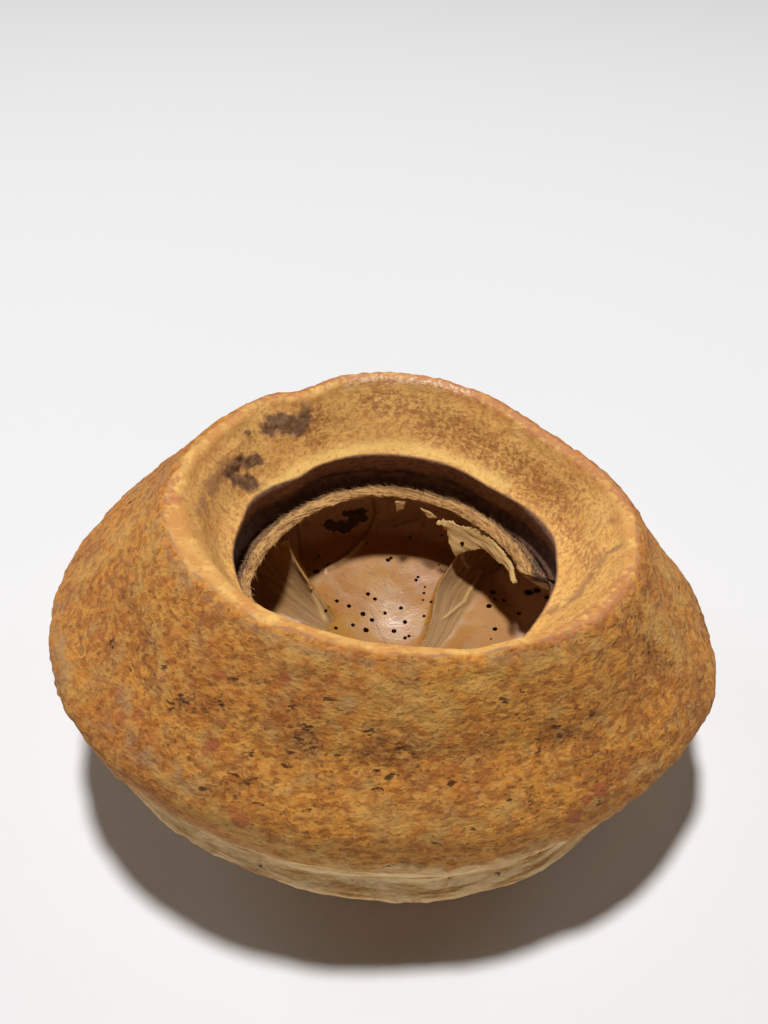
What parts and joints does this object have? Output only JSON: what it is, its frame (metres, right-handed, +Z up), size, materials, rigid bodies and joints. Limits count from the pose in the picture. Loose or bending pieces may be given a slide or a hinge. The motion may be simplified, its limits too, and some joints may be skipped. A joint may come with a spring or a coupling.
{
  "type": "monkey pot seed pod",
  "caption": "Empty woody monkey pot pod with its lid gone: squat corky jar, bevelled mouth, torn lining edge and septa inside, resting on its stalk scar.",
  "frame": {"origin": "bottom centre of the pod's bounding box as it rests", "axes": "+Z up, -Y towards the viewer of the picture, +X to that viewer's right; the pod's own axis leans 3.56 degrees from +Z towards +X"},
  "size_m": [0.1856, 0.1748, 0.0915],
  "materials": {
    "husk": "matte corky bark, ochre with dark brown patches",
    "lining": "satin tan lining inside the pod, with a torn fibrous edge"
  },
  "bodies": {
    "root": {"pod": "husk"}
  },
  "joints": []
}
